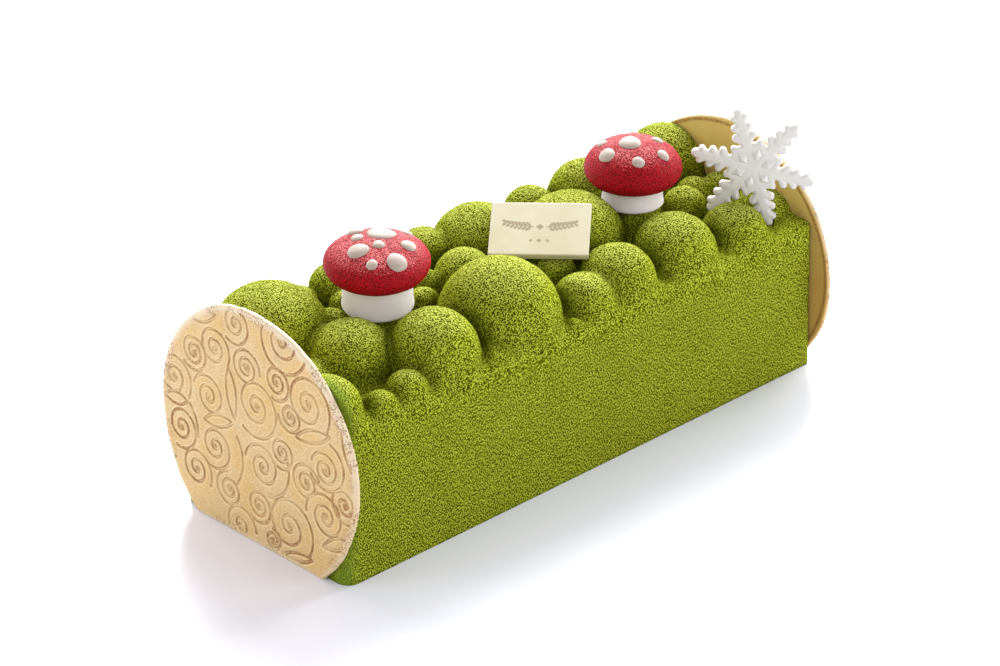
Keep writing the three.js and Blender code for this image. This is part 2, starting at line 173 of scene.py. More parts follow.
class Look:
    # a material under construction
    def __init__(self, name):
        self.material = bpy.data.materials.new(name)
        self.material.use_nodes = True
        self.tree = self.material.node_tree
        self.tree.nodes.clear()
        self.place = self.node("TexCoord", {}, (), "Object")

    def node(self, kind, settings, values, out=0):
        # values fill the sockets in order, or by name or number where they are a dictionary
        made = self.tree.nodes.new("ShaderNode" + kind)
        for key, setting in settings.items():
            setattr(made, key, setting)
        pairs = values.items() if isinstance(values, dict) else enumerate(values)
        for key, value in pairs:
            socket = made.inputs[key]
            if isinstance(value, Wire):
                self.tree.links.new(value.socket, socket)
            elif socket.type == "RGBA":
                socket.default_value = (*value, 1)
            else:
                socket.default_value = value
        return Wire(self, made.outputs[out]) if made.outputs else None

    def noise(self, size, detail=2.0, roughness=0.5, place=None):
        # noise whose blobs are about that many millimetres across, from 0 to 1
        values = {"Vector": place or self.place, "Scale": 1 / (size * millimetre), "Detail": detail,
                  "Roughness": roughness}
        return self.node("TexNoise", {}, values)

    def crumbs(self, size):
        # rounded clumps about that many millimetres across: 1 on their tops and less between them
        values = {"Vector": self.place, "Scale": 1 / (size * millimetre), "Smoothness": 0.6}
        return 1 - self.node("TexVoronoi", {"feature": "SMOOTH_F1"}, values)

    def stretched(self, x, y, z):
        return self.node("Mapping", {}, {"Vector": self.place, "Scale": (x, y, z)})

    def along(self, axis):
        # place along X, Y or Z, in metres
        return self.node("SeparateXYZ", {}, (self.place,), axis)

    def upward(self):
        # 1 where the surface faces up, 0 where it is upright, -1 where it faces down
        normal = self.node("NewGeometry", {}, (), "Normal")
        return self.node("SeparateXYZ", {}, (normal,), "Z")

    def attribute(self, name):
        return self.node("Attribute", {"attribute_name": name}, (), "Fac")

    def mix(self, factor, first, second):
        # sockets 6 and 7 and output 2 are the colour ones
        return self.node("Mix", {"data_type": "RGBA"}, {0: factor, 6: first, 7: second}, 2)

    def bump(self, height, depth, strength=1.0):
        # depth in millimetres for a height from 0 to 1
        values = {"Strength": strength, "Distance": depth * millimetre, "Height": height}
        return self.node("Bump", {}, values)

    def finish(self, **sockets):
        # names such as baseColor stand for the shader's own, such as Base Color
        values = {}
        for key, value in sockets.items():
            words = "".join(" " + c if c.isupper() else c for c in key)
            values[words[0].upper() + words[1:]] = value
        values = {key.replace("I O R", "IOR"): value for key, value in values.items()}
        shader = self.node("BsdfPrincipled", {}, values)
        self.node("OutputMaterial", {}, {"Surface": shader})
        return self.material


log = {
    "width": 91.0, "endAtTable": 125.0, "nearLean": 1.0, "farLean": 2.1,
    "shoulderHeight": 63.0, "shoulderRadius": 5.0, "nearCorner": 5.5, "farCorner": 2.5,
    "crease": 1.8, "valley": 3.0, "pivotInset": 6.0, "pivotHeight": 52.0,
    "columns": 320, "cornerColumns": 12, "wallRows": 40, "fanRows": 42, "topRows": 118, "bottomRows": 5,
    "rayStart": 50.0, "rayEnd": 0.5, "raySteps": 70, "rayShare": 0.97, "rayError": 0.004,
    "grainSize": 1.9, "grainHeight": 0.13, "lumpSize": 5.0, "lumpHeight": 0.12, "grainSeeds": (11, 12, 13),
    "domeLevels": (54, 66), "wallGrainShare": 0.4, "plainEnd": 2.5, "plainFoot": 1.5, "endMiddle": 34.0,
    "shelterSteps": ((1.5, 0.25), (4.0, 0.35), (9.0, 0.3), (16.0, 0.2)), "shelterValley": 0.1,
    "shelterLevels": (48, 58), "gap": 0.3,
}
# front and back rows as x, radius, height of centre: they touch the long walls
frontDomes = [
    (-121.6, 13.6, 65.6), (-101.4, 6.9, 61.8), (-87.2, 8.1, 63.3), (-65.6, 17.4, 66.9), (-45.6, 7.3, 60.1),
    (-26.2, 23.6, 65.1), (-7, 3.3, 62.1), (7.7, 13.1, 61.9), (28.1, 15.2, 64.3), (61.4, 17.3, 63.2),
    (91.9, 13.7, 62.3), (116.4, 5.8, 58.2),
]
backDomes = [
    (-100, 23.3, 65.2), (-73.7, 8.5, 65), (-56.6, 9.8, 68), (-36.7, 10.5, 63), (-12.4, 11.5, 66.6),
    (9.4, 19.3, 64.1), (30.3, 7.5, 63), (45.6, 11.2, 65.6), (72.2, 15.9, 65.4), (93.8, 8.6, 63),
    (115.5, 17, 66.3),
]
# between them, as x, y, radius, height of centre
middleDomes = [
    (-108.7, -9, 10, 62), (-88.7, -9, 17.1, 64), (-75.7, 17, 9, 63), (-62.7, 23, 6.6, 66),
    (-60.7, 8, 12.5, 61), (-39.7, 5, 6.6, 66), (-40.7, 21, 8.5, 63), (-28.7, 16, 6.7, 66),
    (-13.7, 10, 12, 66), (13.3, -12, 8.2, 66), (38.2, 4.6, 22, 64), (71.3, 4, 12, 61.5),
    (93.3, -4, 8.9, 65), (93.3, 14, 8.5, 63), (107.3, 4, 8, 63), (116.3, -1, 7, 65), (118, -22.5, 14, 58),
]
wallAt = log["width"] / 2
domes = np.array([(x, radius - wallAt, radius, height) for x, radius, height in frontDomes]
                 + [(x, wallAt - radius, radius, height) for x, radius, height in backDomes] + middleDomes)


def blend(first, second, width):
    # the smaller of two distances, with the crease between them filled by a fillet about that wide
    overlap = np.maximum(width - np.abs(first - second), 0)
    return np.minimum(first, second) - overlap ** 2 / (4 * width)


def plainDistance(points, valley):
    # distance to the block joined with the domes, each half a ball on a round column that goes down into the
    # block: tight creases between domes, and fillets about as wide as the valley where they meet the block
    across = np.abs(points[:, 1]) - (wallAt - log["shoulderRadius"])
    above = points[:, 2] - (log["shoulderHeight"] - log["shoulderRadius"])
    outside = np.hypot(np.maximum(across, 0), np.maximum(above, 0))
    block = outside + np.minimum(np.maximum(across, above), 0) - log["shoulderRadius"]
    each = []
    for x, y, radius, height in domes:
        above = np.maximum(points[:, 2] - height, 0)
        each.append(np.sqrt((points[:, 0] - x) ** 2 + (points[:, 1] - y) ** 2 + above ** 2) - radius)
    first, second = np.partition(np.stack(each), 1, axis=0)[:2]
    return blend(blend(first, second, log["crease"]), block, valley)


def logDistance(points):
    # distance to the log with what is pressed into it taken away
    solid = plainDistance(points, log["valley"])
    for cut in pressedInto(points):
        solid = np.maximum(solid, -cut)
    return solid


def pressedInto(points):
    # distances to what is pressed into the log, each grown by the gap
    gap = log["gap"]
    for stand in (nearToadstool, farToadstool):
        local = (points - stand["base"]) @ toadstoolAxes(stand).T
        radial = np.hypot(local[:, 0], local[:, 1]) - stand["stemRadius"] - gap
        yield np.maximum(radial, -local[:, 2] - gap)
    local = (points - tile["centre"]) @ facing(tile).T
    half = np.array([tile["width"], tile["height"], tile["thickness"]]) / 2 + gap
    yield np.max(np.abs(local + (0, 0, tile["thickness"] / 2)) - half, axis=1)
    local = (points - flake["centre"]) @ facing(flake).T
    outline = flakeDistance(local[:, 0], local[:, 1])
    yield np.maximum(outline, np.abs(local[:, 2]) - flake["thickness"] / 2) - gap


def facing(stand):
    # rows are right, up and outward of a flat piece that looks along its heading, raised and then rolled
    turn, level, roll = (math.radians(stand[key]) for key in ("heading", "elevation", "roll"))
    out = np.array([math.cos(level) * math.cos(turn), math.cos(level) * math.sin(turn), math.sin(level)])
    right = np.array([-math.sin(turn), math.cos(turn), 0])
    up = np.cross(out, right)
    rolledRight = right * math.cos(roll) + up * math.sin(roll)
    rolledUp = up * math.cos(roll) - right * math.sin(roll)
    return np.array([rolledRight, rolledUp, out])


def toadstoolAxes(stand):
    # rows are the turned axes of a toadstool that tilts towards a heading
    turn, tilt = math.radians(stand["tiltHeading"]), math.radians(stand["tilt"])
    side = np.array([-math.sin(turn), math.cos(turn), 0])
    axis = np.array([math.sin(tilt) * math.cos(turn), math.sin(tilt) * math.sin(turn), math.cos(tilt)])
    forward = np.cross(side, axis)
    spin = np.array([[math.cos(turn), -math.sin(turn), 0], [math.sin(turn), math.cos(turn), 0], [0, 0, 1]])
    return spin @ np.array([forward, side, axis])


def columnPlaces():
    # places along the log, closer together where the corners of the outline turn
    end = log["endAtTable"]
    turn = np.linspace(0, np.pi / 2, log["cornerColumns"])
    near = -end + log["nearCorner"] * (1 - np.cos(turn))
    far = end - log["farCorner"] * (1 - np.cos(turn[::-1]))
    middle = np.linspace(near[-1], far[0], log["columns"] - 2 * log["cornerColumns"] + 2)[1:-1]
    return np.concatenate([near, middle, far])


def halfWidthAt(x):
    # half the log's width, which falls in a quarter circle at each corner
    end = log["endAtTable"]
    width = np.full(x.shape, wallAt)
    for radius, depth in ((log["nearCorner"], x + end), (log["farCorner"], end - x)):
        short = np.clip(radius - depth, 0, radius)
        width = np.minimum(width, wallAt - radius + np.sqrt(radius ** 2 - short ** 2))
    return width


def logSurface():
    # rays leave a box inside the log: along Y at the walls, turning about its top edges, and upwards over
    # the top. Each is followed from outside to where the distance to the log is nothing.
    x = columnPlaces()
    half = halfWidthAt(x)
    share = (x + log["endAtTable"]) / (2 * log["endAtTable"])
    nearSlope, farSlope = (math.tan(math.radians(log[lean])) for lean in ("nearLean", "farLean"))
    slope = (1 - share) * nearSlope - share * farSlope
    pivot = half - log["pivotInset"]
    across, height, rayAcross, rayUp = [], [], [], []

    def rows(acrossRows, heightRows, angles):
        shape = (len(angles), len(x))
        across.append(np.broadcast_to(acrossRows, shape))
        height.append(np.broadcast_to(heightRows, shape))
        rayAcross.append(np.broadcast_to(np.sin(angles)[:, None], shape))
        rayUp.append(np.broadcast_to(np.cos(angles)[:, None], shape))

    wall = np.linspace(0, log["pivotHeight"], log["wallRows"], endpoint=False)
    fan = np.linspace(np.pi / 2, 0, log["fanRows"], endpoint=False)
    top = np.linspace(-1, 1, log["topRows"])
    level = np.full(len(wall), np.pi / 2)
    rows(-pivot, wall[:, None], -level)
    rows(-pivot, log["pivotHeight"], -fan)
    rows(top[:, None] * pivot, log["pivotHeight"], np.zeros(len(top)))
    rows(pivot, log["pivotHeight"], fan[::-1])
    rows(pivot, wall[::-1, None], level)
    across, height, rayAcross, rayUp = (np.concatenate(part) for part in (across, height, rayAcross, rayUp))

    walls = (rayUp < 1e-6) & (height < log["pivotHeight"] + 1e-6)
    travel = np.full(across.shape, log["rayStart"])
    active = ~walls
    column = np.broadcast_to(np.arange(len(x)), across.shape)
    for step in range(log["raySteps"]):
        where = np.nonzero(active)
        up = height[where] + rayUp[where] * travel[where]
        spot = np.stack([x[column[where]] + slope[column[where]] * up,
                         across[where] + rayAcross[where] * travel[where], up], -1)
        distance = logDistance(spot)
        travel[where] -= distance * log["rayShare"]
        stop = (np.abs(distance) < log["rayError"]) | (travel[where] < log["rayEnd"])
        active[where] = ~stop
        if stop.all():
            break
    y = np.clip(across + rayAcross * travel, -half, half)
    z = height + rayUp * travel
    y = np.where(walls, np.sign(across) * half, y)
    z = np.where(walls, height, z)
    points = np.stack([x + slope * z, y, z], -1)

    # the underside closes the section
    under = np.linspace(1, -1, log["bottomRows"] + 2)[1:-1, None] * half
    bottom = np.stack(np.broadcast_arrays(x, under, 0.0), -1)
    return np.concatenate([points, bottom]), x, len(points)


def coatedLog():
    # the plain surface moved along its normals by two noises, none of it at the ends and the underside
    points, x, coated = logSurface()
    normal = gridNormals(points)
    flat = points.reshape(-1, 3)
    size = log["grainSize"]
    coarseSeed, fineSeed, lumpSeed = log["grainSeeds"]
    grain = smoothNoise(flat, size, coarseSeed) + 0.6 * smoothNoise(flat + 7, size * 0.6, fineSeed)
    lumps = smoothNoise(flat, log["lumpSize"], lumpSeed)
    onDomes = smoothStep(*log["domeLevels"], flat[:, 2])
    share = log["wallGrainShare"] + (1 - log["wallGrainShare"]) * onDomes
    lift = grain * log["grainHeight"] * share + lumps * log["lumpHeight"] * onDomes
    lift = lift.reshape(points.shape[:2]) * smoothStep(0, log["plainEnd"], log["endAtTable"] - np.abs(x))
    lift[coated:] = 0
    lift *= smoothStep(0, log["plainFoot"], points[..., 2])
    # how shut in each point is, high among the domes: it drives the painted shade in the creases
    crease = shelter(flat, normal.reshape(-1, 3)) * smoothStep(*log["shelterLevels"], flat[:, 2])
    points = points + normal * lift[..., None]

    # end faces: the end rings shrink to the middle of the section
    rings = []
    for column in (0, -1):
        ring = points[:, column]
        level = log["endMiddle"]
        middle = np.array([ring[np.argmin(np.abs(ring[:, 2] - level)), 0], 0, level])
        rings.append([middle + (ring - middle) * share for share in (0.66, 0.33, 0.0)])
    first, last = rings
    whole = np.stack(first[::-1] + list(points.transpose(1, 0, 2)) + last, 1)
    return whole, np.pad(crease.reshape(points.shape[:2]), ((0, 0), (3, 3)), mode="edge")


def shelter(points, normals):
    # how shut in each point is: steps out along the normal that come back near the surface count
    found = np.zeros(len(points))
    for reach, share in log["shelterSteps"]:
        away = plainDistance(points + normals * reach, log["shelterValley"])
        found += share * np.clip(1 - away / reach, 0, 1)
    return found


discs = {
    "foot": 125.3, "thickness": 2.6, "rim": 0.75, "gridSide": 270,
    "grooveWidth": 0.6, "grooveDepth": 0.9, "border": 1.8, "puff": 0.4, "puffWidth": 1.9, "nearWidth": 1.1,
    "handCut": ((3, 0.35), (7, 0.2)), "nickSize": 3.2, "nickDepth": 0.13,  # round the outline
    "waves": ((9.0, 0.16), (2.4, 0.05)), "rollWidth": 1.1, "edgeWidth": 0.5, "edgeDrop": 0.25, "back": 0.02,
    # round the rim as outwards and up, and over the back as shares of the way from the middle
    "rimProfile": ((0.5, 0.86), (0.87, 0.5), (1, 0.12), (1, -0.25), (0.87, -0.62), (0.5, -0.92), (0, -1)),
    "backRings": (0.99, 0.975, 0.955, 0.8, 0.55, 0.3, 0.1, 0.0),
    "near": {"side": -1, "radius": 53.6, "across": -0.55, "centre": 40.4, "lean": 1.0, "phase": 0.6},
    "far": {"side": 1, "radius": 54.1, "across": 0.0, "centre": 38.5, "lean": 2.1, "phase": 2.4},
}
# across, up, outer radius, turns, end angle, hand, widening
scrolls = [
    (-11.5, 86, 8.4, 2.2, 235, -1, 1.3), (13.5, 88, 13.4, 2.6, 350, 1, 1.4),
    (-23.5, 72, 9, 2.3, 330, -1, 1.3), (-35, 66.3, 7.8, 2.5, 225, -1, 1.1), (-6, 70.3, 8, 2.5, 0, -1, 1.2),
    (11, 71, 7.4, 2.2, 250, -1, 1.1), (27.3, 68.3, 12.6, 2.5, 322, -1, 1.5),
    (18, 59.5, 6.4, 2.1, 190, -1, 1.1), (-0.5, 57, 13.4, 2.7, 235, -1, 1.6), (-27, 51, 9, 2.1, 160, 1, 1.2),
    (-47, 52, 10.4, 2.4, 325, -1, 1.4), (13, 43.3, 7, 2.2, 215, -1, 1.1), (36.5, 45.5, 7.4, 2, 165, 1, 1.2),
    (26, 36.3, 8, 2.3, 20, -1, 1.2), (46.5, 35.3, 7.8, 2.2, 317, 1, 1.3),
    (2.5, 33.3, 9.6, 2.3, 170, 1, 1.4), (-24, 31.5, 9.4, 2.2, 245, -1, 1.3),
    (-43, 32.5, 9.4, 2.3, 250, -1, 1.3), (36.5, 26.3, 10.4, 2.4, 185, 1, 1.3),
    (-35, 18, 9, 2.2, 330, -1, 1.2), (-16.5, 16.3, 7.5, 2.2, 100, -1, 1.1),
    (0, 16.3, 7.4, 2.3, 230, -1, 1.1), (16.5, 14.5, 13.6, 2.4, 325, -1, 1.5), (-11, 4, 9, 1.8, 0, -1, 1.3),
    (7.5, 5.3, 4.6, 1.8, 90, 1, 1),
]
innermostTurn = 1.0
# long sweeps round a scroll: across, up, radius, from angle, to angle
sweeps = [
    (36.5, 47.5, 9.8, 75, -140), (3, 36, 14, 25, -100), (-24, 30.5, 15.6, 38, -42), (-48, 33, 14.5, 50, -5),
]
# leaves from tip to tip and how wide
leaves = [
    (-15.5, 67, -12.8, 47, 5.2), (21, 53, 39, 60, 5), (-30, 40.5, -14, 45, 4.8),
    (-52, 42.5, -39.5, 44, 4.8), (35, 14, 50, 21.5, 4.6), (13, 1.5, 29, 5.5, 3.4),
    (45.5, 66, 50.5, 50, 3.6), (-34.5, 79.8, -22, 86, 4),
]


def scrollDistance(across, up, scroll):
    # polar form: at each angle the line is met once a turn, at radii that grow as a power of the share
    # wound. This and the next two give a distance that is negative on the inner side of the line.
    midAcross, midUp, radius, turns, endAngle, hand, widening = scroll
    a, b = across - midAcross, up - midUp
    reach = np.hypot(a, b)
    back = (hand * (math.radians(endAngle) - np.arctan2(b, a)) / (2 * np.pi)) % 1
    best = np.full(across.shape, 99.0)
    for turn in range(math.ceil(turns)):
        share = 1 - (back + turn) / turns
        line = innermostTurn + (radius - innermostTurn) * np.maximum(share, 0) ** widening
        best = np.where(share >= 0, nearer(best, reach - line), best)
    tail = math.radians(endAngle)
    end = np.hypot(a - radius * math.cos(tail), b - radius * math.sin(tail))
    return nearer(nearer(best, end), np.abs(reach - innermostTurn * 0.5) + 0.25)


def nearer(first, second):
    # whichever of two signed distances lies closer to nothing
    return np.where(np.abs(first) <= np.abs(second), first, second)


def arcDistance(across, up, midAcross, midUp, radius, start, finish):
    # distance to a circle where the angle is inside the arc, and to the arc's ends elsewhere
    middle, half = math.radians(start + finish) / 2, abs(math.radians(finish - start)) / 2
    a, b = across - midAcross, up - midUp
    off = np.abs((np.arctan2(b, a) - middle + np.pi) % (2 * np.pi) - np.pi)
    ends = [np.hypot(a - radius * math.cos(middle + side * half), b - radius * math.sin(middle + side * half))
            for side in (-1, 1)]
    return np.where(off <= half, np.hypot(a, b) - radius, np.minimum(*ends))


def leafDistance(across, up, leaf):
    # two arcs through the tips, bowed to either side by half the leaf's width
    a = np.array(leaf[:2])
    b = np.array(leaf[2:4])
    bow = leaf[4] / 2
    chord = np.linalg.norm(b - a)
    radius = (chord ** 2 / 4 + bow ** 2) / (2 * bow)
    aside = np.array([a[1] - b[1], b[0] - a[0]]) / chord
    middle = (a + b) / 2
    found = []
    for side in (-1, 1):
        centre = middle - side * aside * (radius - bow)
        towards = math.degrees(math.atan2(*(side * aside)[::-1]))
        half = math.degrees(math.asin(min(1, chord / 2 / radius)))
        found.append(arcDistance(across, up, *centre, radius, towards - half, towards + half))
    return nearer(*found)


def embossedFace(across, up):
    # distance to the nearest line of the pattern
    found = [scrollDistance(across, up, scroll) for scroll in scrolls]
    found += [arcDistance(across, up, *sweep) for sweep in sweeps]
    found += [leafDistance(across, up, leaf) for leaf in leaves]
    nearest = found[0]
    for other in found[1:]:
        nearest = nearer(nearest, other)
    return nearest


def cutOutline(disc, angle, seed):
    # distance from the middle to a hand-cut circle with slow waves and fine nicks, flat along the table
    wave = sum(height * np.sin(count * angle + disc["phase"]) for count, height in discs["handCut"])
    circle = np.stack([np.cos(angle), np.sin(angle), 0 * angle], -1) * disc["radius"]
    nick = discs["nickDepth"] * smoothNoise(circle + 90, discs["nickSize"], seed)
    down = np.maximum(-np.sin(angle), 1e-6)
    return np.minimum(disc["radius"] + wave + nick - 0.1, disc["centre"] / down)


def bell(value, width):
    # 1 at nothing, falling to a third at the width
    return np.exp(-(value / width) ** 2)


def discSurface(disc, seed):
    # a square grid bent to a round by x sqrt(1 - y y / 2), then scaled to the hand-cut outline, and rings
    # that carry its edge round the rim and over the plain inner face to the middle
    side, rim, back = discs["gridSide"], discs["rim"], discs["back"]
    u, v = np.meshgrid(np.linspace(-1, 1, side), np.linspace(-1, 1, side))
    a = u * np.sqrt(1 - v * v / 2)
    b = v * np.sqrt(1 - u * u / 2)
    reach = np.hypot(a, b)
    angle = np.arctan2(b, a)
    toEdge = cutOutline(disc, angle, seed) - rim
    across = reach * toEdge * np.cos(angle) + disc["across"]
    up = reach * toEdge * np.sin(angle) + disc["centre"]
    fromRim = (1 - reach) * toEdge
    rolled = bell(fromRim, discs["rollWidth"])
    line = embossedFace(across, up)
    groove = bell(line, discs["grooveWidth"])
    puff = discs["puff"] * bell(line, discs["puffWidth"])
    spot = np.stack([across, up, 0 * up], -1)
    wavy = sum(height * smoothNoise(spot, size, seed + 1 + number)
               for number, (size, height) in enumerate(discs["waves"]))
    out = discs["thickness"] - 0.2 + (wavy - puff - discs["grooveDepth"] * groove) * (1 - rolled)
    out = out - discs["edgeDrop"] * bell(fromRim, discs["edgeWidth"])
    front = np.stack([across, up, out], -1)

    edge = gridEdge(side, side)
    edgeAngle = angle.ravel()[edge]
    full = cutOutline(disc, edgeAngle, seed)
    top = out.ravel()[edge]

    def ringAt(distance, level):
        ringAcross = distance * np.cos(edgeAngle) + disc["across"]
        ringUp = distance * np.sin(edgeAngle) + disc["centre"]
        return np.stack([ringAcross, ringUp, level + 0 * edgeAngle], -1)

    rings = []
    for share, height in discs["rimProfile"]:
        level = top - rim * 0.9 * (1 - height) if height > 0 else back + (rim + 0.1) * (1 + height)
        rings.append(ringAt(full - rim + rim * share, level))
    rings += [ringAt((full - rim) * share, back) for share in discs["backRings"]]
    rings = np.array(rings)
    local, faces = closedGrid(front, rings, edge)
    local[:, 1] = np.maximum(local[:, 1], 0)

    # what the look reads: on the front, and on the rings
    zeros = np.zeros(rings.shape[:2])
    onBack = rings[:, :, 2] < 0.1
    ringReach = np.hypot(rings[:, :, 0] - disc["across"], rings[:, :, 1] - disc["centre"]) / disc["radius"]
    parts = {
        "line": (groove * (1 - rolled), zeros),
        "offLine": (np.clip(line, -3, 3), zeros + 3),
        "nearLine": (bell(line, discs["nearWidth"]) * (1 - rolled), zeros),
        "border": (bell(fromRim, discs["border"]), zeros + 1),
        "rim": (rolled, ~onBack * 1.0),
        "inner": (0 * reach, onBack * 1.0),
        "fromMiddle": (reach, ringReach),
    }
    attributes = {name: np.concatenate([part.ravel() for part in pair]) for name, pair in parts.items()}
    return local, faces, attributes


def standUp(local, disc):
    # across, up and outward of a disc that leans inwards over its inner bottom edge
    side, lean = disc["side"], math.radians(disc["lean"])
    up = np.array([-side * math.sin(lean), 0, math.cos(lean)])
    out = np.array([side * math.cos(lean), 0, math.sin(lean)])
    across = np.array([0, side, 0])
    foot = np.array([side * discs["foot"], 0, 0])
    return foot + local[:, :1] * across + local[:, 1:2] * up + local[:, 2:] * out


# counts of points, and unevenness as depth and size; the dots rise as a power curve over their rings
toadstools = {
    "capAround": 400, "capRows": (12, 40, 110), "capGrain": (0.07, 0.8),
    "stemAround": 120, "stemGrain": (0.03, 3.0), "wobble": 0.004,
    "dotAround": 40, "dotRings": (0.0, 0.22, 0.42, 0.6, 0.74, 0.85, 0.93, 0.98, 1.0, 0.97),
    "dotCurve": (2.4, 0.6), "dotDip": -0.35, "dotWaves": ((2, 0.04), (3, 0.03), (5, 0.015)),
    "dotGrain": (0.03, 1.6),
}
# each dot as bearing, distance from the axis, length outwards, width and rise
nearToadstool = {
    "base": (-60.2, 7.5, 72), "stemRadius": 13.5, "capRadius": 19.9, "crown": 8.5, "skirt": 6,
    "capLift": 18.8, "tilt": 4, "tiltHeading": -134,
    "dots": [
        (84, 13.3, 6.2, 6.4, 1.3), (33, 6.7, 10.2, 10.8, 1.2), (3, 15.8, 4.6, 4.9, 0.9),
        (110, 8.1, 4.8, 4.9, 1.0), (-117, 2.7, 4.8, 4.8, 1.0), (-48, 11.7, 5.9, 6.1, 1.2),
        (177, 8.8, 7.9, 7.9, 1.4), (-140, 13.5, 4.4, 4.3, 0.9), (-100, 13.6, 8.1, 7.4, 1.3),
    ],
}
farToadstool = {
    "base": (71.9, 4.1, 72), "stemRadius": 12.3, "capRadius": 19.2, "crown": 11.6, "skirt": 6.4,
    "capLift": 15, "tilt": 0, "tiltHeading": 0,
    "dots": [
        (-165, 2.8, 9.0, 8.8, 1.5), (172, 12.9, 5.8, 7.2, 1.3), (-128, 13.6, 4.3, 4.9, 0.9),
        (-77, 13.4, 4.6, 5.0, 1.1), (-27, 9.9, 4.5, 4.5, 1.0), (125, 12.3, 4.2, 4.2, 0.8),
        (42, 10.3, 3.4, 3.4, 0.8),
    ],
}
tile = {
    "centre": (14.2, -2.5, 81.9), "heading": -142.2, "elevation": 68, "roll": 3.7,
    "width": 38.2, "height": 27, "thickness": 2.6, "edge": 0.45, "columns": 230, "rows": 164,
}
# the print: a laurel band with a bowed stalk either side of the middle, and diamonds as across, up and size
sprig = {
    "level": 0.8, "bow": 0.012, "stalkMiddle": 8.2, "stalkHalf": 6.0, "stalkEdge": (0.14, 0.34),
    "leafPlaces": (3.4, 13.0, 7), "leafLength": 1.75, "leafShrink": 0.05, "leafWidth": 0.62, "leafLean": 48,
    "diamonds": ((0, 0.8, 1.5), (-3.2, -6.2, 0.8), (0, -6.2, 1.0), (3.2, -6.2, 0.8)), "inkEdge": (-0.1, 0.12),
}
# bars of one arm as from along, aside, to along, aside and the radii at both ends; the web joins two arms
flake = {
    "centre": (107.8, -26.6, 85.4), "heading": -139.3, "elevation": 6.2, "roll": -13.2,
    "reach": 25.0, "thickness": 4.0, "cell": 0.25, "blend": 0.22, "edgeShare": 0.35, "shoulder": 1.5,
    "bars": ((0, 0, 20.5, 0, 2.8, 2.2), (20.5, 0, 23.2, 0, 2.0, 1.75), (12.0, 1.8, 13.2, 3.6, 1.5, 1.45),
             (15.9, 1.5, 17.1, 3.0, 1.45, 1.4), (20.0, 0.8, 21.2, 2.3, 1.4, 1.35)),
    "web": (8.6, 0, 10.8, 0, 3.7, 1.2), "hub": 8.8,
    "petal": (5.8, 2.9, 2.1, 0.85), "petalGroove": (0.2, 0.25), "petalReach": 10, "unevenness": (0.06, 2.5),
    "settleSteps": 4, "settleShare": 0.8, "settleProbe": 0.02,
}


def turnedSurface(profile, around, seed, grain, grainSize):
    # a profile of (radius, height) turned about Z, a little out of round, with a fine noise along its normals
    angle = np.linspace(0, 2 * np.pi, around, endpoint=False)
    half = toadstools["wobble"] / 2
    radius = profile[:, :1] * (1 + half * np.sin(3 * angle + seed) + half * np.sin(2 * angle + 2 * seed))
    points = np.stack([radius * np.cos(angle), radius * np.sin(angle),
                       np.broadcast_to(profile[:, 1:], radius.shape)], -1)
    slope = np.gradient(profile, axis=0)
    slope /= np.maximum(np.linalg.norm(slope, axis=1, keepdims=True), 1e-9)
    normal = np.stack([slope[:, 1:] * np.cos(angle), slope[:, 1:] * np.sin(angle),
                       np.broadcast_to(-slope[:, :1], radius.shape)], -1)
    noise = smoothNoise(points, grainSize, seed) + 0.5 * smoothNoise(points + 5, grainSize / 2, seed + 1)
    fade = smoothStep(0, 1.5, profile[:, :1])
    points = points + normal * (noise * grain * fade)[..., None]
    return points, gridFaces(len(profile), around, closedColumns=True)


def capProfile(stand):
    # flat underside, quarter ellipse out to the rim, and half an ellipse over the crown
    underRows, skirtRows, crownRows = toadstools["capRows"]
    skirt = np.linspace(np.pi / 2, 0, skirtRows, endpoint=False)
    crown = np.linspace(0, np.pi / 2, crownRows)
    inner = stand["stemRadius"]
    inside = np.linspace(0, inner, underRows, endpoint=False)
    under = np.stack([inside, 0 * inside - stand["skirt"]], -1)
    overhang = stand["capRadius"] - inner
    lower = np.stack([inner + overhang * np.cos(skirt), -stand["skirt"] * np.sin(skirt)], -1)
    upper = np.stack([stand["capRadius"] * np.cos(crown), stand["crown"] * np.sin(crown)], -1)
    return np.concatenate([under, lower, upper])


def stemProfile(stand):
    # a softly rounded foot, a slight waist and a flat top a gap below the cap
    top = stand["capLift"] - stand["skirt"] - log["gap"]
    turn = np.linspace(-np.pi / 2, 0, 12)
    radius = stand["stemRadius"]
    foot = np.stack([radius - 1 + np.cos(turn), 1 + np.sin(turn)], -1)
    height = np.linspace(1, top - 0.4, 16)[1:]
    side = np.stack([radius - 0.4 * np.sin(np.pi * (height - 1) / (top - 1)), height], -1)
    inside = np.linspace(0, radius - 1, 5, endpoint=False)
    under = np.stack([inside, 0 * inside], -1)
    cover = np.array([[radius - 0.15, top - 0.1], [radius - 0.5, top], [radius / 2, top], [0, top]])
    return np.concatenate([under, foot, side, cover])


